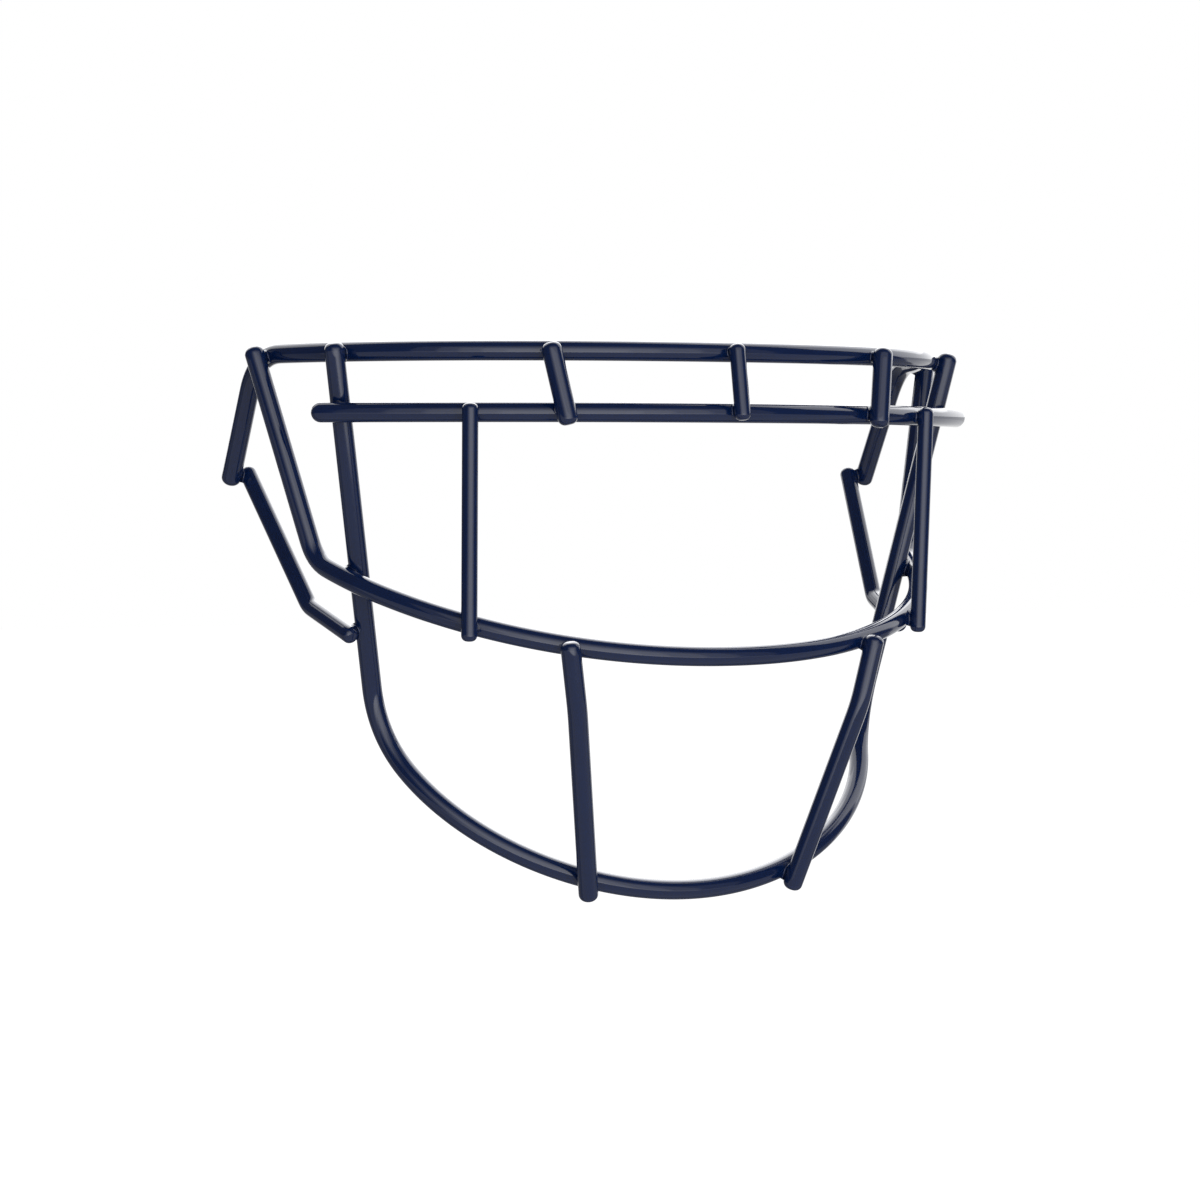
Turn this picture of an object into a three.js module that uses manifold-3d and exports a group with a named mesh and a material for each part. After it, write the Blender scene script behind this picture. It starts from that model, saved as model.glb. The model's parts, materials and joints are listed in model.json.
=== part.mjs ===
// Facemask of an American football helmet: a cage of bent round steel wires, resistance-welded
// where they cross and powder coated as one piece. Millimetres, +Z up, -Y is the wearer's front,
// +X the wearer's left. The origin is the middle of the brow wire, on the mask's mirror plane.

import * as THREE from "three";
import { mergeVertices } from "three/addons/utils/BufferGeometryUtils.js";
import Module from "manifold-3d";

const wasm = await Module();
wasm.setup();

// ---- Driving dimensions ----

const FRAME_WIRE = 6.0; // diameters over the coating
const BAR_WIRE = 4.8;
const BRACE_WIRE = 5.2;
const SEAM = 0.3; // clearance between neighbouring solids
const SIDES = 12; // flats round a wire
const END_ROUND = 0.3; // share of the radius lost at the rim of a cut end
const SWEEP_STEPS = 15;
const BEND_STEPS = 4;
const SEAT_PASSES = 4; // rounds of settling a strut's two ends on the wires under them
const SAME_POINT = 1e-4; // corners this near are one
const BEAD_RADIUS = 2.9; // weld beads, at their two rims and at the waist between them
const BEAD_WAIST = 2.5;
const BEAD_DEPTH = 1.4; // from the waist to a rim

const v = (x, y, z) => new THREE.Vector3(x, y, z);

// A long wire is a sweep across the face, then a bend, then a straight leg. Only the half with
// positive X is given: the other mirrors it. A sweep leaves the mirror plane square to it with a
// handle `reach` long, and `aim` is the handle that it arrives at its far end from.
const BROW = {
  middle: v(0, 0, 0),
  reach: 46,
  aim: v(98, 18.5, 0),
  bend: v(114.5, 85.5, 0),
  tip: v(114, 107.5, -39),
  bendLength: 12,
};
const LOWER_BROW = {
  middle: v(0, -3, -18),
  reach: 61,
  aim: v(100.5, 35.5, -18),
  tip: v(113, 48.5, -18),
};
const EYE_LOOP = {
  middle: v(0, -2, -90),
  reach: 65,
  aim: v(96, 35.5, -73.5),
  bend: v(104, 66, -62),
  tip: v(119.5, 77, 2),
  bendLength: 6,
};
const CHIN_LOOP = {
  middle: v(0, 22, -161.5),
  reach: 36,
  aim: v(69, 35, -146),
  bend: v(85, 63.5, -114.5),
  tip: v(107.5, 45, 2.5),
  bendLength: 15,
};

// Struts lie on the outside of the wires that they join. `top` and `foot` are how far from the
// mirror plane they cross them, and `above` and `below` are how far their ends pass the crossings.
const BROW_STRUT = { top: 54.5, foot: 51.5, above: 1.6, below: 4.6 };
const CENTRE_STRUT = { top: 0, foot: 0, above: 1.4, below: 3.2 };
const EYE_BAR = { top: 75.5, foot: 74, above: 2.8, below: 4.4 };
const CHIN_BAR = {
  top: 49.5,
  knee: v(48.5, 3.5, -105.5),
  foot: 34,
  kneeLength: 4,
  above: 2.5,
  below: 4.4,
};

// The jaw brace starts inside the brow wire's leg and ends outside the chin loop, at these heights.
const JAW_BRACE = {
  top: -36.5,
  knee: v(100.5, 78.5, -76),
  foot: -82.6,
  kneeLength: 2,
  above: 2,
  below: 2.4,
};

const FACE_CENTRE = v(0, 75, -60); // a point inside the mask, to tell outward from inward

// ---- Centre lines ----

const towards = (from, to, distance) =>
  from.clone().add(to.clone().sub(from).setLength(distance));

// The curves of a bent line: straight to `distance` short of the corner, round it, straight on.
function roundedCorner(start, corner, end, distance) {
  const before = towards(corner, start, distance);
  const after = towards(corner, end, distance);
  return [
    new THREE.LineCurve3(start, before),
    new THREE.QuadraticBezierCurve3(before, corner, after),
    new THREE.LineCurve3(after, end),
  ];
}

// The curves of a long wire's half, from the mirror plane to its tip.
function halfCurves({ middle, reach, aim, bend, tip, bendLength }) {
  const handle = middle.clone().add(v(reach, 0, 0));
  if (!bend) return [new THREE.CubicBezierCurve3(middle, handle, aim, tip)];
  const [, corner, leg] = roundedCorner(aim, bend, tip, bendLength);
  return [new THREE.CubicBezierCurve3(middle, handle, aim, corner.v0), corner, leg];
}

const STEPS = { CubicBezierCurve3: SWEEP_STEPS, QuadraticBezierCurve3: BEND_STEPS, LineCurve3: 1 };

// Stations are the places along a wire where its section is drawn: each a point and a tangent.
function stationsAlong(curves) {
  const stations = [];
  for (const curve of curves) {
    const steps = STEPS[curve.type];
    for (let i = stations.length ? 1 : 0; i <= steps; i++)
      stations.push({ point: curve.getPoint(i / steps), tangent: curve.getTangent(i / steps) });
  }
  return stations;
}

const mirroredPoint = (p) => v(-p.x, p.y, p.z);

// The whole of a long wire, from the tip at -X to the tip at +X.
function stationsAcross(shape) {
  const half = stationsAlong(halfCurves(shape));
  const other = half.slice(1).map(({ point, tangent }) => ({
    point: mirroredPoint(point),
    tangent: mirroredPoint(tangent).negate(),
  }));
  return [...other.reverse(), ...half];
}

const mirroredStations = (stations) =>
  stations.map(({ point, tangent }) => ({ point: mirroredPoint(point), tangent: mirroredPoint(tangent) }));

// The place on a centre line where one coordinate has the given value, on the +X side.
function crossingAt(stations, axis, value) {
  for (let i = stations.length - 1; i > 0; i--) {
    const a = stations[i - 1].point;
    const b = stations[i].point;
    const share = (value - a[axis]) / (b[axis] - a[axis]);
    if (share >= 0 && share <= 1)
      return {
        point: a.clone().lerp(b, share),
        tangent: stations[i - 1].tangent.clone().lerp(stations[i].tangent, share).normalize(),
      };
  }
  throw new Error("the wire does not reach that far");
}

// The centre of a wire that rests on another at a crossing, square to both directions.
function seat(crossing, direction, distance, side) {
  const normal = crossing.tangent.clone().cross(direction).normalize();
  const outward = crossing.point.clone().sub(FACE_CENTRE);
  if (normal.dot(outward) * side < 0) normal.negate();
  return crossing.point.clone().addScaledVector(normal, distance);
}

// A strut's stations, from its overhanging top end to its overhanging foot. topSide is 1 where its
// top lies outside the wire that it meets and -1 where it lies inside. Its foot lies outside.
function strutStations(topCrossing, footCrossing, diameter, strut, topSide = 1) {
  const reach = (FRAME_WIRE + diameter) / 2 + SEAM;
  const { knee, kneeLength, above, below } = strut;
  let top = topCrossing.point;
  let foot = footCrossing.point;
  for (let pass = 0; pass < SEAT_PASSES; pass++) {
    const fromTop = (knee ?? foot).clone().sub(top);
    const intoFoot = foot.clone().sub(knee ?? top);
    top = seat(topCrossing, fromTop, reach, topSide);
    foot = seat(footCrossing, intoFoot, reach, 1);
  }
  const start = towards(top, knee ?? foot, -above);
  const end = towards(foot, knee ?? top, -below);
  if (!knee) return stationsAlong([new THREE.LineCurve3(start, end)]);
  return stationsAlong(roundedCorner(start, knee, end, kneeLength));
}

// ---- Wires ----

// A path whose rings ExtrudeGeometry places at the stations, with no twist from ring to ring.
class WirePath extends THREE.Curve {
  constructor(stations, flatSide) {
    super();
    this.stations = stations;
    this.flatSide = flatSide;
  }

  station(u) {
    return this.stations[Math.round(u * (this.stations.length - 1))];
  }

  getPointAt(u) {
    return this.station(u).point.clone();
  }

  // Frames are carried outward from the middle station, so that a mirrored wire has mirrored rings.
  computeFrenetFrames() {
    const tangents = this.stations.map(({ tangent }) => tangent);
    const normals = [];
    const square = (direction, tangent) =>
      direction.clone().addScaledVector(tangent, -direction.dot(tangent)).normalize();
    const middle = Math.floor(tangents.length / 2);
    normals[middle] = square(this.flatSide, tangents[middle]);
    for (let i = middle + 1; i < tangents.length; i++) normals[i] = square(normals[i - 1], tangents[i]);
    for (let i = middle - 1; i >= 0; i--) normals[i] = square(normals[i + 1], tangents[i]);
    const binormals = normals.map((normal, i) => tangents[i].clone().cross(normal));
    return { tangents, normals, binormals };
  }
}

// A many-sided section with one flat square to the path's normal.
function section(diameter) {
  const corners = Array.from({ length: SIDES }, (_, i) => {
    const angle = ((i + 0.5) * 2 * Math.PI) / SIDES;
    return new THREE.Vector2(Math.cos(angle), Math.sin(angle)).multiplyScalar(diameter / 2);
  });
  return new THREE.Shape(corners);
}

// Adds a station a little short of each end, or moves both ends out by a negative distance.
function withEnds(stations, distance) {
  const first = stations[0];
  const last = stations[stations.length - 1];
  const inner = [
    { point: first.point.clone().addScaledVector(first.tangent, distance), tangent: first.tangent },
    { point: last.point.clone().addScaledVector(last.tangent, -distance), tangent: last.tangent },
  ];
  if (distance > 0) return [first, inner[0], ...stations.slice(1, -1), inner[1], last];
  return [inner[0], ...stations.slice(1, -1), inner[1]];
}

function sweep(stations, diameter, flatSide) {
  return new THREE.ExtrudeGeometry(section(diameter), {
    steps: stations.length - 1,
    extrudePath: new WirePath(stations, flatSide),
  });
}

// A wire with the rims of its cut ends taken off by the coating's rounding.
function wireGeometry(stations, diameter, flatSide) {
  const round = (END_ROUND * diameter) / 2;
  const geometry = sweep(withEnds(stations, round), diameter, flatSide);
  const position = geometry.getAttribute("position");
  const corner = v(0, 0, 0);
  for (const end of [stations[0], stations[stations.length - 1]])
    for (let i = 0; i < position.count; i++) {
      corner.fromBufferAttribute(position, i).sub(end.point);
      const onEndFace = Math.abs(corner.dot(end.tangent)) < SAME_POINT && corner.length() < diameter;
      if (!onEndFace) continue;
      corner.multiplyScalar(1 - END_ROUND).add(end.point);
      position.setXYZ(i, corner.x, corner.y, corner.z);
    }
  return geometry;
}

// ---- Solids for cutting ----

function solidOf(geometry) {
  const bare = geometry.index ? geometry.toNonIndexed() : geometry.clone();
  bare.deleteAttribute("normal");
  bare.deleteAttribute("uv");
  const merged = mergeVertices(bare, SAME_POINT);
  return new wasm.Manifold(
    new wasm.Mesh({
      numProp: 3,
      vertProperties: merged.getAttribute("position").array,
      triVerts: new Uint32Array(merged.index.array),
    }),
  );
}

function geometryOf(solid) {
  const { vertProperties, triVerts } = solid.getMesh();
  const geometry = new THREE.BufferGeometry();
  geometry.setAttribute("position", new THREE.BufferAttribute(vertProperties, 3));
  geometry.setIndex(new THREE.BufferAttribute(triVerts, 1));
  const flat = geometry.toNonIndexed();
  flat.computeVertexNormals();
  return flat;
}

// ---- Weld beads ----

// Where two centre lines come nearest: the midpoint and the direction from one to the other.
function nearest(first, second) {
  let best = { distance: Infinity };
  for (let i = 1; i < first.length; i++)
    for (let j = 1; j < second.length; j++) {
      const a = v(0, 0, 0);
      const b = v(0, 0, 0);
      const side = new THREE.Line3(second[j - 1].point, second[j].point);
      const distance = Math.sqrt(
        new THREE.Line3(first[i - 1].point, first[i].point).distanceSqToLine3(side, a, b),
      );
      if (distance < best.distance) best = { distance, a, b };
    }
  return best;
}

// The bead that fills the corner round a crossing: a disc hollowed by both of the wires. Where a
// cut end leaves crumbs of it, only the bead itself is kept.
function beadGeometry(inner, outer) {
  const { a, b } = nearest(inner.stations, outer.stations);
  const lift = b.clone().sub(a).normalize();
  const gapMiddle = (inner.diameter / 2 + a.distanceTo(b) - outer.diameter / 2) / 2;
  const centre = a.clone().addScaledVector(lift, gapMiddle);
  const profile = [
    [0, -BEAD_DEPTH],
    [BEAD_RADIUS, -BEAD_DEPTH],
    [BEAD_WAIST, 0],
    [BEAD_RADIUS, BEAD_DEPTH],
    [0, BEAD_DEPTH],
  ].map(([radius, height]) => new THREE.Vector2(radius, height));
  const disc = new THREE.LatheGeometry(profile, SIDES);
  disc.applyQuaternion(new THREE.Quaternion().setFromUnitVectors(v(0, 1, 0), lift));
  disc.translate(centre.x, centre.y, centre.z);
  const bead = solidOf(disc).subtract(inner.clearance).subtract(outer.clearance);
  const pieces = bead.decompose().sort((p, q) => q.volume() - p.volume());
  return geometryOf(pieces[0]);
}

// ---- Assembly ----

const NAVY = 0x16204a;

const coating = (name) =>
  new THREE.MeshStandardMaterial({ name, color: NAVY, roughness: 0.18, metalness: 0.1 });

const mask = new THREE.Group();

function add(name, geometry, material) {
  const mesh = new THREE.Mesh(geometry, coating(material));
  mesh.name = name;
  mask.add(mesh);
}

const wires = {};

function addWire(name, stations, diameter, flatSide = v(0, -1, 0)) {
  const clearance = solidOf(sweep(withEnds(stations, -SEAM), diameter + 2 * SEAM, flatSide));
  wires[name] = { stations, diameter, clearance };
  add(name, wireGeometry(stations, diameter, flatSide), "wire_coating");
}

// One strut on each side, given the +X one.
function addPair(name, stations, diameter, flatSide) {
  addWire(name + "_left", stations, diameter, flatSide);
  addWire(name + "_right", mirroredStations(stations), diameter, flatSide);
}

const brow = stationsAcross(BROW);
const lowerBrow = stationsAcross(LOWER_BROW);
const eyeLoop = stationsAcross(EYE_LOOP);
const chinLoop = stationsAcross(CHIN_LOOP);

addWire("brow_wire", brow, FRAME_WIRE, v(0, 0, 1));
addWire("lower_brow_wire", lowerBrow, FRAME_WIRE, v(0, 0, 1));
addWire("eye_loop", eyeLoop, FRAME_WIRE);
addWire("chin_loop", chinLoop, FRAME_WIRE);

const between = (upper, lower, diameter, strut) =>
  strutStations(crossingAt(upper, "x", strut.top), crossingAt(lower, "x", strut.foot), diameter, strut);

addPair("brow_strut", between(brow, lowerBrow, FRAME_WIRE, BROW_STRUT), FRAME_WIRE);
addWire("centre_brow_strut", between(brow, lowerBrow, BAR_WIRE, CENTRE_STRUT), BAR_WIRE);
addPair("eye_bar", between(lowerBrow, eyeLoop, BAR_WIRE, EYE_BAR), BAR_WIRE);
addPair("chin_bar", between(eyeLoop, chinLoop, FRAME_WIRE, CHIN_BAR), FRAME_WIRE);
const brace = strutStations(
  crossingAt(brow, "z", JAW_BRACE.top),
  crossingAt(chinLoop, "z", JAW_BRACE.foot),
  BRACE_WIRE,
  JAW_BRACE,
  -1,
);
addPair("jaw_brace", brace, BRACE_WIRE, v(1, 0, 0));

// Each weld, as the wire underneath and the one on top of it. Long wires cross once on each side.
const LONG_WELDS = [
  ["brow_wire", "chin_loop"],
  ["brow_wire", "eye_loop"],
  ["chin_loop", "lower_brow_wire"],
  ["chin_loop", "eye_loop"],
];
const STRUT_WELDS = [
  ["brow_wire", "brow_strut"],
  ["lower_brow_wire", "brow_strut"],
  ["lower_brow_wire", "eye_bar"],
  ["eye_loop", "eye_bar"],
  ["eye_loop", "chin_bar"],
  ["chin_loop", "chin_bar"],
  ["brow_wire", "jaw_brace"],
  ["chin_loop", "jaw_brace"],
];
const CENTRE_WELDS = ["brow_wire", "lower_brow_wire"];

const sideOnly = (wire, sign) => ({
  ...wire,
  stations: wire.stations.filter(({ point }) => point.x * sign > 0),
});

function addBead(under, over, inner, outer, side) {
  add(`weld_${under}_${over}${side}`.replaceAll("_wire", ""), beadGeometry(inner, outer), "weld_coating");
}

for (const [side, sign] of [["_left", 1], ["_right", -1]]) {
  for (const [under, over] of LONG_WELDS)
    addBead(under, over, sideOnly(wires[under], sign), sideOnly(wires[over], sign), side);
  for (const [under, over] of STRUT_WELDS) addBead(under, over, wires[under], wires[over + side], side);
}
for (const under of CENTRE_WELDS)
  addBead(under, "centre_brow_strut", wires[under], wires.centre_brow_strut, "");

export default mask;
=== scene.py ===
"""Looks of the football facemask: smooth powder-coated wires and weld fillets round the CAD frame."""

import json
import math
from collections import namedtuple

import bmesh
import bpy
import numpy as np
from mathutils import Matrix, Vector


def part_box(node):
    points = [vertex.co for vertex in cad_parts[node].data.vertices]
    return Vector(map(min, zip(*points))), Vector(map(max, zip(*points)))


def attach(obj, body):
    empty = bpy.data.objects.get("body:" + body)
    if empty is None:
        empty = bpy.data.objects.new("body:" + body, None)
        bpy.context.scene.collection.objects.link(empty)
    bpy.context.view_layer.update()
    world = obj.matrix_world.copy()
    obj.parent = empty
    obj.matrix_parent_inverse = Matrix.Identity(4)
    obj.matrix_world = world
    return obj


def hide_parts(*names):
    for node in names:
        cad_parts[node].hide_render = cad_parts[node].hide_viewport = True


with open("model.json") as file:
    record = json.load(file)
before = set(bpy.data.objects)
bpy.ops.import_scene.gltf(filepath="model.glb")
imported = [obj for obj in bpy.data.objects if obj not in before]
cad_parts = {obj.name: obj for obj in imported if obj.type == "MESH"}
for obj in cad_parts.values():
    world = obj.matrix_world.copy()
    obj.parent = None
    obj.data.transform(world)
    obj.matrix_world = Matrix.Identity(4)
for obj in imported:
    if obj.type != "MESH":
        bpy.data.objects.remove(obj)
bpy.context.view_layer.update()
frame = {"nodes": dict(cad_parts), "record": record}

# ---- Dimensions, in metres ----

MM = 0.001

# Reading the CAD wires.
SAME_POINT = 0.002 * MM  # corners this near are one
SAME_PLANE = 0.9999  # least cosine between the normals of coplanar faces
MIN_CORNERS = 9  # of a cut end
EVEN_RADII = 1.02  # most that a cut end's largest radius may be over its smallest

# The smooth wires.
AROUND = 96  # sides
RING_STEP = 1.5 * MM
FIRST_SIDE = np.array([0.31, 0.52, 0.79])  # roughly the way to the first corner of the first ring
RIM_SHARE = 0.72  # of the radius, rounded off round a cut end
DOME_SHARE = 0.95  # the same for the wires whose free ends are ground to a dome
DOMED = ("lower_brow_wire",)
RIM_RINGS = 6
RIM_CLEAR = 1.2  # rims in from a cut end, where the wire's even rings may begin
END_BULGE = 0.06  # of its radius, of the face inside the rim

# The weld fillets. Each is the hollow that a ball leaves when it rolls round between two wires.
FILLET_RADIUS = 0.8 * MM
FILLET_AROUND = 72  # sections round a crossing
FILLET_ARC = 10  # steps across a section
FILLET_SINK = 0.35 * MM  # how far a fillet's feet go into the wires
END_REACH = 3  # radii from a cut end within which its rounded rim matters
NEAREST_PASSES = 20
ROLL_START = 3 * MM  # first guess of how far out the ball lies
ROLL_PASSES = 40
ROLL_PROBE = 0.001 * MM
ROLL_LONGEST = 0.5 * MM  # the furthest that one pass moves the ball
ROLL_SETTLED = 1e-4 * MM

# The coating.
NAVY_RAMP = (  # noise value and colour
    (0.3, (0.0020, 0.0094, 0.046, 1)),
    (0.7, (0.0023, 0.0106, 0.051, 1)),
)
TINT_NOISE = (180, 3)  # scale and detail
GLOSS_NOISE = (90, 2)
WIRE_ROUGHNESS = (0.06, 0.11)  # smoothest and roughest
WELD_ROUGHNESS = (0.10, 0.16)
COATING_IOR = 1.5

CAMERA_AZIMUTH = -28.24
CAMERA_ELEVATION = 1.73
CAMERA_DISTANCE = 1.2532
CAMERA_AIM = Vector((-0.0010, 0.0781, -0.0755))
CAMERA_LENS = 119.77
SENSOR = 36.0
CLIP_START = 0.05
CLIP_END = 50

WHITE = (1, 1, 1, 1)
FLOOR_SIZE = 30
FLOOR_DROP = 0.6  # of the floor below the middle of the mask
FLOOR_TINT = (0.9, 0.9, 0.9, 1)
FLOOR_ROUGHNESS = 0.9
ROOM_RADIANCE = 0.12
LIGHT_DISTANCE = 1.5
PANEL_GAP = 0.02  # between panels that lie over one another, and from the floor to its glow
FRONT_DIRECTION = (-18, 0)  # azimuth and elevation, in degrees
FRONT_LOW = -19.5  # degrees, the lower edge of all the front panels
FRONT_PANELS = (  # degrees left, right and up, and radiance
    (-46, 58, 50, 0.3),
    (-36, 48, 40, 0.5),
    (-28, 40, 30, 0.6),
    (-20, 30, 21, 0.6),
    (-12, 22, 12, 0.5),
)
REAR_DIRECTION = (147, 40)
REAR_PANELS = (  # degrees left, right, down and up, and radiance
    (-64, 50, -63, 42, 0.9),
    (-62, 56, -36, 42, 1.3),
    (-35, 35, -20, 28, 1.3),
    (-18, 18, -12, 22, 1.5),
)
GLOW_DEPTH = 4  # from the middle of the mask outwards
FRONT_GLOW_AZIMUTH = -15
BACK_GLOW_AZIMUTH = 165
FRONT_GLOW = 0.47  # radiance
BACK_GLOW = 0.20


# ---- Camera ----


def view_direction(azimuth, elevation):
    """The way from the object to a viewer at that azimuth and elevation, in degrees."""
    a, e = math.radians(azimuth), math.radians(elevation)
    return Vector((math.sin(a) * math.cos(e), -math.cos(a) * math.cos(e), math.sin(e)))


def make_camera():
    data = bpy.data.cameras.new("camera")
    data.lens = CAMERA_LENS
    data.sensor_width = SENSOR
    data.clip_start = CLIP_START
    data.clip_end = CLIP_END
    camera = bpy.data.objects.new("camera", data)
    back = view_direction(CAMERA_AZIMUTH, CAMERA_ELEVATION)
    camera.location = CAMERA_AIM + back * CAMERA_DISTANCE
    camera.rotation_euler = back.to_track_quat("Z", "Y").to_euler()
    bpy.context.scene.collection.objects.link(camera)
    bpy.context.scene.camera = camera


make_camera()


# ---- Centre lines, read from the CAD wires ----


def welded_copy(node):
    """A bmesh of a CAD node with its triangles joined at their corners."""
    bm = bmesh.new()
    bm.from_mesh(frame["nodes"][node].data)
    bmesh.ops.remove_doubles(bm, verts=bm.verts, dist=SAME_POINT)
    bm.normal_update()
    return bm


def coplanar_patch(start):
    """The faces joined to `start` that lie in its plane."""
    patch, front = {start}, [start]
    while front:
        for edge in front.pop().edges:
            for face in edge.link_faces:
                if face not in patch and face.normal.dot(start.normal) > SAME_PLANE:
                    patch.add(face)
                    front.append(face)
    return patch


def end_ring(bm):
    """The vertices of one flat cut end: coplanar triangles whose outline is a regular polygon."""
    seen = set()
    for start in bm.faces:
        if start in seen:
            continue
        patch = coplanar_patch(start)
        seen |= patch
        corners = {v for face in patch for v in face.verts}
        centre = sum((v.co for v in corners), Vector()) / len(corners)
        radii = [(v.co - centre).length for v in corners]
        is_polygon = len(corners) == len(patch) + 2 >= MIN_CORNERS
        if is_polygon and max(radii) < EVEN_RADII * min(radii):
            return corners
    raise RuntimeError("no cut end found")


def centre_line(node):
    """A CAD wire's ring centres, ring normals and radius, from one cut end to the other."""
    bm = welded_copy(node)
    ring = end_ring(bm)
    seen, rings = set(ring), [ring]
    while True:
        ring = {e.other_vert(v) for v in ring for e in v.link_edges} - seen
        if not ring:
            break
        seen |= ring
        rings.append(ring)
    points = np.array([np.mean([v.co for v in ring], axis=0) for ring in rings])
    spreads = [np.array([v.co for v in ring]) - point for ring, point in zip(rings, points)]
    normals = np.array([np.linalg.svd(spread)[2][2] for spread in spreads])
    radius = max(np.linalg.norm(spread, axis=1).max() for spread in spreads)
    bm.free()
    return points, normals, radius


def smooth_line(points, normals):
    """Points and tangents of the curve through the ring centres, square to each ring."""
    out_points, out_tangents = [], []
    for i in range(len(points) - 1):
        chord = points[i + 1] - points[i]
        length = np.linalg.norm(chord)
        t0 = normals[i] * np.sign(normals[i] @ chord) * length
        t1 = normals[i + 1] * np.sign(normals[i + 1] @ chord) * length
        count = max(1, round(length / RING_STEP))
        last = i == len(points) - 2
        for k in range(count + (1 if last else 0)):
            u = k / count
            # The weights of a cubic Hermite curve, and of its slope.
            h = (2 * u**3 - 3 * u**2 + 1, u**3 - 2 * u**2 + u, -2 * u**3 + 3 * u**2, u**3 - u**2)
            d = (6 * u**2 - 6 * u, 3 * u**2 - 4 * u + 1, -6 * u**2 + 6 * u, 3 * u**2 - 2 * u)
            out_points.append(h[0] * points[i] + h[1] * t0 + h[2] * points[i + 1] + h[3] * t1)
            tangent = d[0] * points[i] + d[1] * t0 + d[2] * points[i + 1] + d[3] * t1
            out_tangents.append(tangent / np.linalg.norm(tangent))
    return np.array(out_points), np.array(out_tangents)


# ---- Smooth wires ----

# A wire's centre line, its radius, and how far in from the surface its cut ends are rounded off.
Wire = namedtuple("Wire", "points tangents radius rim")


def new_object(name, vertices, faces):
    mesh = bpy.data.meshes.new(name)
    mesh.from_pydata([tuple(v) for v in vertices], [], faces)
    mesh.validate()
    bm = bmesh.new()
    bm.from_mesh(mesh)
    bmesh.ops.recalc_face_normals(bm, faces=bm.faces)
    bm.to_mesh(mesh)
    bm.free()
    mesh.polygons.foreach_set("use_smooth", [True] * len(mesh.polygons))
    piece = bpy.data.objects.new(name, mesh)
    bpy.context.scene.collection.objects.link(piece)
    return piece


def rounded_rings(wire):
    """Rings along a wire as (centre, tangent, radius), with the rims of both ends rounded."""
    points, tangents, radius, rim = wire
    angles = [math.pi / 2 * k / RIM_RINGS for k in range(RIM_RINGS + 1)]
    head = [(rim * (1 - math.cos(a)), radius - rim * (1 - math.sin(a))) for a in angles]
    along = np.concatenate([[0], np.cumsum(np.linalg.norm(np.diff(points, axis=0), axis=1))])
    total = along[-1]
    inside = [(s, radius) for s in along if rim * RIM_CLEAR < s < total - rim * RIM_CLEAR]
    tail = [(total - s, r) for s, r in reversed(head)]
    rings = []
    for s, r in head + inside + tail:
        centre = np.array([np.interp(s, along, points[:, k]) for k in range(3)])
        tangent = np.array([np.interp(s, along, tangents[:, k]) for k in range(3)])
        rings.append((centre, tangent / np.linalg.norm(tangent), r))
    return rings


def tube(name, rings):
    """A closed tube through the rings, with a slightly domed face at each end."""
    vertices, faces = [], []
    side = FIRST_SIDE
    for centre, tangent, radius in rings:
        side = side - tangent * (side @ tangent)
        side /= np.linalg.norm(side)
        other = np.cross(tangent, side)
        for k in range(AROUND):
            a = 2 * math.pi * k / AROUND
            vertices.append(centre + radius * (math.cos(a) * side + math.sin(a) * other))
    for i in range(len(rings) - 1):
        for k in range(AROUND):
            a, b = i * AROUND + k, i * AROUND + (k + 1) % AROUND
            faces.append((a, b, b + AROUND, a + AROUND))
    for index, outward in ((0, -1), (len(rings) - 1, 1)):
        centre, tangent, radius = rings[index]
        vertices.append(centre + outward * tangent * radius * END_BULGE)
        first = index * AROUND
        for k in range(AROUND):
            faces.append((first + k, first + (k + 1) % AROUND, len(vertices) - 1))
    return new_object(name, vertices, faces)


# ---- Weld fillets ----


def nearest_on(line, point):
    """The nearest point to `point` on a line of many short straight pieces."""
    a, b = line[:-1], line[1:]
    d = b - a
    t = np.clip(np.einsum("ij,ij->i", point - a, d) / np.einsum("ij,ij->i", d, d), 0, 1)
    on = a + t[:, None] * d
    return on[np.argmin(np.linalg.norm(on - point, axis=1))]


def off_wire(wire, point):
    """How far a point is from a wire's surface, cut ends included, and the way out from there."""
    points, tangents, radius, rim = wire
    for end, outward in ((points[0], -tangents[0]), (points[-1], tangents[-1])):
        reach = point - end
        beyond = reach @ outward + rim
        if np.linalg.norm(reach) < END_REACH * radius and beyond > 0:
            sideways = reach - (reach @ outward) * outward
            excess = np.linalg.norm(sideways) - (radius - rim)
            if excess <= 0:
                return beyond - rim, outward
            way = excess * sideways / np.linalg.norm(sideways) + beyond * outward
            return np.linalg.norm(way) - rim, way / np.linalg.norm(way)
    offset = point - nearest_on(points, point)
    return np.linalg.norm(offset) - radius, offset / np.linalg.norm(offset)


def crossing_axes(first, second, near):
    """The point midway between two crossing wires, two ways out from it, and the way up."""
    on_first = nearest_on(first.points, near)
    for _ in range(NEAREST_PASSES):
        on_second = nearest_on(second.points, on_first)
        on_first = nearest_on(first.points, on_second)
    distance = np.linalg.norm(on_second - on_first)
    lift = (on_second - on_first) / distance
    gap = distance - first.radius - second.radius
    middle = on_first + lift * (first.radius + gap / 2)
    nearest = np.argmin(np.linalg.norm(first.points - on_first, axis=1))
    side = np.cross(lift, first.tangents[nearest])
    side /= np.linalg.norm(side)
    return middle, side, np.cross(lift, side), lift


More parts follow.
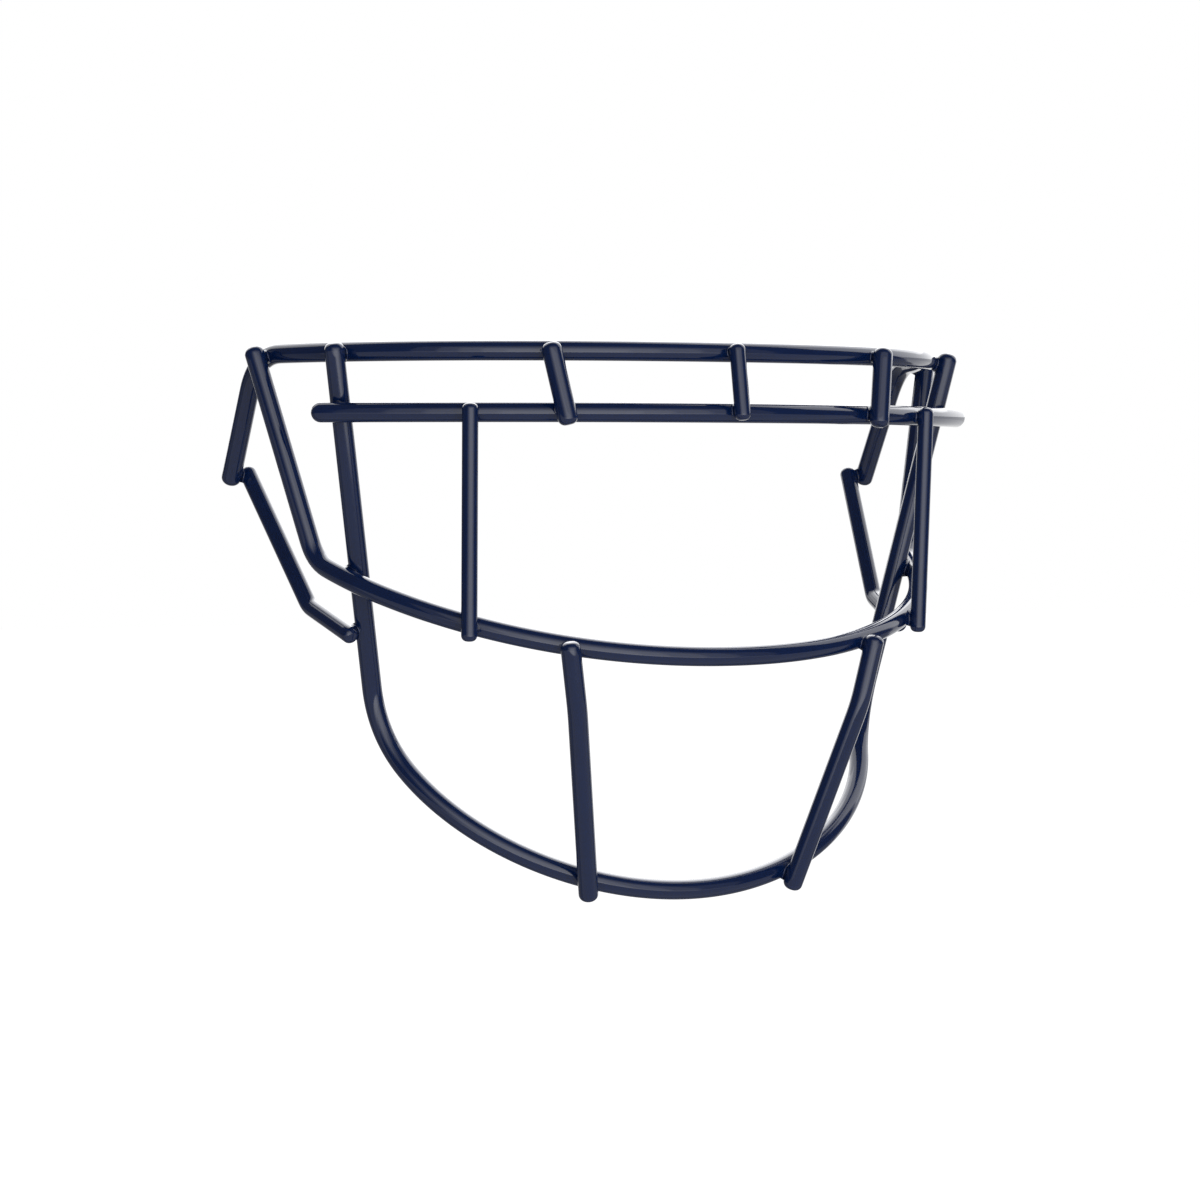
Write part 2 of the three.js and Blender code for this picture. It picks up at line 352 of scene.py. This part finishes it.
def roll_ball(first, second, axes, out, up):
    """How far out and up the ball lies when it touches both wires, by Newton's method."""
    middle, ray, lift = axes

    def miss(out, up):
        ball = middle + out * ray + up * lift
        return np.array([off_wire(first, ball)[0], off_wire(second, ball)[0]]) - FILLET_RADIUS

    for _ in range(ROLL_PASSES):
        here = miss(out, up)
        by_out = (miss(out + ROLL_PROBE, up) - here) / ROLL_PROBE
        by_up = (miss(out, up + ROLL_PROBE) - here) / ROLL_PROBE
        step = np.linalg.lstsq(np.column_stack([by_out, by_up]), -here, rcond=None)[0]
        step = np.clip(step, -ROLL_LONGEST, ROLL_LONGEST)
        out, up = out + step[0], up + step[1]
        if np.abs(step).max() < ROLL_SETTLED:
            break
    return out, up


def fillet_section(first, second, ball):
    """The ball's arc from the one wire to the other, and two feet sunk into them."""
    to_first, to_second = -off_wire(first, ball)[1], -off_wire(second, ball)[1]
    spread = math.acos(np.clip(to_first @ to_second, -1, 1))
    arc = []
    for i in range(FILLET_ARC + 1):
        w = i / FILLET_ARC
        mix = math.sin((1 - w) * spread) * to_first + math.sin(w * spread) * to_second
        arc.append(ball + FILLET_RADIUS * mix / math.sin(spread))
    return arc + [arc[-1] + to_second * FILLET_SINK, arc[0] + to_first * FILLET_SINK]


def fillet(name, first, second, near):
    """A ring of concave fillet between two crossing wires."""
    middle, side, forward, lift = crossing_axes(first, second, near)
    out, up = ROLL_START, 0.0
    sections = []
    for k in range(FILLET_AROUND):
        angle = 2 * math.pi * k / FILLET_AROUND
        ray = math.cos(angle) * side + math.sin(angle) * forward
        out, up = roll_ball(first, second, (middle, ray, lift), out, up)
        sections.append(fillet_section(first, second, middle + out * ray + up * lift))
    size = len(sections[0])
    faces = []
    for k in range(FILLET_AROUND):
        a, b = k * size, (k + 1) % FILLET_AROUND * size
        for i in range(size):
            j = (i + 1) % size
            faces.append((a + i, a + j, b + j, b + i))
    piece = new_object(name, [point for section in sections for point in section], faces)
    # The arc's own borders are sharp, so that its shading runs on from the wires' at both feet.
    for edge in piece.data.edges:
        i, j = (vertex % size for vertex in edge.vertices)
        edge.use_edge_sharp = i == j and i in (0, FILLET_ARC)
    return piece


# ---- Materials ----


def coating(name, smoothest, roughest):
    """Gloss navy powder coat: deep colour, faintly mottled in tint and in gloss."""
    material = bpy.data.materials.new(name)
    material.use_nodes = True
    nodes, links = material.node_tree.nodes, material.node_tree.links
    shader = nodes["Principled BSDF"]
    shader.inputs["Metallic"].default_value = 0.0
    shader.inputs["IOR"].default_value = COATING_IOR
    shader.inputs["Coat Weight"].default_value = 0.0
    place = nodes.new("ShaderNodeTexCoord")

    def noise(scale, detail):
        texture = nodes.new("ShaderNodeTexNoise")
        texture.inputs["Scale"].default_value = scale
        texture.inputs["Detail"].default_value = detail
        links.new(place.outputs["Object"], texture.inputs["Vector"])
        return texture.outputs["Fac"]

    tint = nodes.new("ShaderNodeValToRGB")
    for index, (position, navy) in enumerate(NAVY_RAMP):
        tint.color_ramp.elements[index].position = position
        tint.color_ramp.elements[index].color = navy
    links.new(noise(*TINT_NOISE), tint.inputs["Fac"])
    links.new(tint.outputs["Color"], shader.inputs["Base Color"])

    gloss = nodes.new("ShaderNodeMapRange")
    gloss.inputs["To Min"].default_value = smoothest
    gloss.inputs["To Max"].default_value = roughest
    links.new(noise(*GLOSS_NOISE), gloss.inputs["Value"])
    links.new(gloss.outputs["Result"], shader.inputs["Roughness"])
    return material


# ---- Assembly ----

slots = {part["node"]: part["material_slot"] for part in frame["record"]["subparts"]}
wire_coating = coating("wire_coating", *WIRE_ROUGHNESS)
weld_coating = coating("weld_coating", *WELD_ROUGHNESS)


def nodes_in(slot):
    return [node for node in sorted(frame["nodes"]) if slots[node] == slot]


def take_over(piece, node, material):
    piece.data.materials.append(material)
    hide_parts(node)
    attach(piece, "root")


def read_wire(node):
    points, normals, radius = centre_line(node)
    points, tangents = smooth_line(points, normals)
    rim = radius * (DOME_SHARE if node in DOMED else RIM_SHARE)
    return Wire(points, tangents, radius, rim)


def two_nearest(wires, near):
    """The two wires whose surfaces come nearest to a point."""

    def distance(wire):
        return np.linalg.norm(nearest_on(wire.points, near) - near) - wire.radius

    return sorted(wires, key=distance)[:2]


wires = {node: read_wire(node) for node in nodes_in("wire_coating")}
for node, wire in wires.items():
    take_over(tube("coated_" + node, rounded_rings(wire)), node, wire_coating)

for node in nodes_in("weld_coating"):
    low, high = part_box(node)
    near = np.array((low + high) / 2)
    first, second = two_nearest(wires.values(), near)
    take_over(fillet("coated_" + node, first, second, near), node, weld_coating)


# ---- Stage and light ----


def make_floor():
    """A white floor that the mask neither mirrors nor is shaded by. The glows stand in for it."""
    bpy.ops.mesh.primitive_plane_add(size=FLOOR_SIZE, location=(0, 0, CAMERA_AIM.z - FLOOR_DROP))
    floor = bpy.context.object
    floor.name = "studio_floor"
    floor.visible_glossy = False
    floor.visible_diffuse = False
    floor.visible_shadow = False
    material = bpy.data.materials.new("studio_floor")
    material.use_nodes = True
    shader = material.node_tree.nodes["Principled BSDF"]
    shader.inputs["Base Color"].default_value = FLOOR_TINT
    shader.inputs["Roughness"].default_value = FLOOR_ROUGHNESS
    shader.inputs["Emission Color"].default_value = WHITE
    shader.inputs["Emission Strength"].default_value = 1.0
    floor.data.materials.append(material)


def make_world():
    """A white backdrop, and a dim room in the reflections."""
    world = bpy.data.worlds.new("studio")
    bpy.context.scene.world = world
    world.use_nodes = True
    nodes, links = world.node_tree.nodes, world.node_tree.links
    backdrop = nodes["Background"]
    backdrop.inputs["Color"].default_value = WHITE
    room = nodes.new("ShaderNodeBackground")
    room.inputs["Color"].default_value = (ROOM_RADIANCE, ROOM_RADIANCE, ROOM_RADIANCE, 1)
    mix = nodes.new("ShaderNodeMixShader")
    ray = nodes.new("ShaderNodeLightPath")
    links.new(ray.outputs["Is Camera Ray"], mix.inputs["Fac"])
    links.new(room.outputs["Background"], mix.inputs[1])
    links.new(backdrop.outputs["Background"], mix.inputs[2])
    links.new(mix.outputs["Shader"], nodes["World Output"].inputs["Surface"])


def area_light(name, location, rotation, width, height, radiance):
    """A rectangular light that the camera doesn't see."""
    data = bpy.data.lights.new(name, "AREA")
    data.shape = "RECTANGLE"
    data.size, data.size_y = width, height
    data.energy = math.pi * width * height * radiance
    light = bpy.data.objects.new(name, data)
    light.location = location
    light.rotation_euler = rotation
    light.visible_camera = False
    bpy.context.scene.collection.objects.link(light)


def softbox(name, direction, distance, edges, radiance):
    """A panel square to that direction, whose edges lie that many degrees off its middle."""
    turn = view_direction(*direction).to_track_quat("Z", "Y")
    left, right, low, high = (math.tan(math.radians(d)) * distance for d in edges)
    shift = turn @ Vector(((left + right) / 2, (low + high) / 2, distance))
    area_light(name, CAMERA_AIM + shift, turn.to_euler(), right - left, high - low, radiance)


def softboxes(name, direction, panels):
    """Panels over one another whose light adds up, so that it fades out towards their edges."""
    for index, (*edges, radiance) in enumerate(panels):
        distance = LIGHT_DISTANCE + index * PANEL_GAP
        softbox("%s_%d" % (name, index), direction, distance, edges, radiance)


def floor_glow(name, azimuth, radiance):
    """Light off the half of the floor on that side of the mask."""
    middle = CAMERA_AIM + view_direction(azimuth, 0) * GLOW_DEPTH / 2
    middle.z -= FLOOR_DROP - PANEL_GAP
    rotation = (math.pi, 0, math.radians(azimuth))
    area_light(name, middle, rotation, 2 * GLOW_DEPTH, GLOW_DEPTH, radiance)


make_floor()
make_world()
front_panels = [(left, right, FRONT_LOW, high, glow) for left, right, high, glow in FRONT_PANELS]
softboxes("front_softbox", FRONT_DIRECTION, front_panels)
softboxes("rear_softbox", REAR_DIRECTION, REAR_PANELS)
floor_glow("floor_glow_front", FRONT_GLOW_AZIMUTH, FRONT_GLOW)
floor_glow("floor_glow_back", BACK_GLOW_AZIMUTH, BACK_GLOW)

bpy.context.scene.view_settings.view_transform = "Standard"
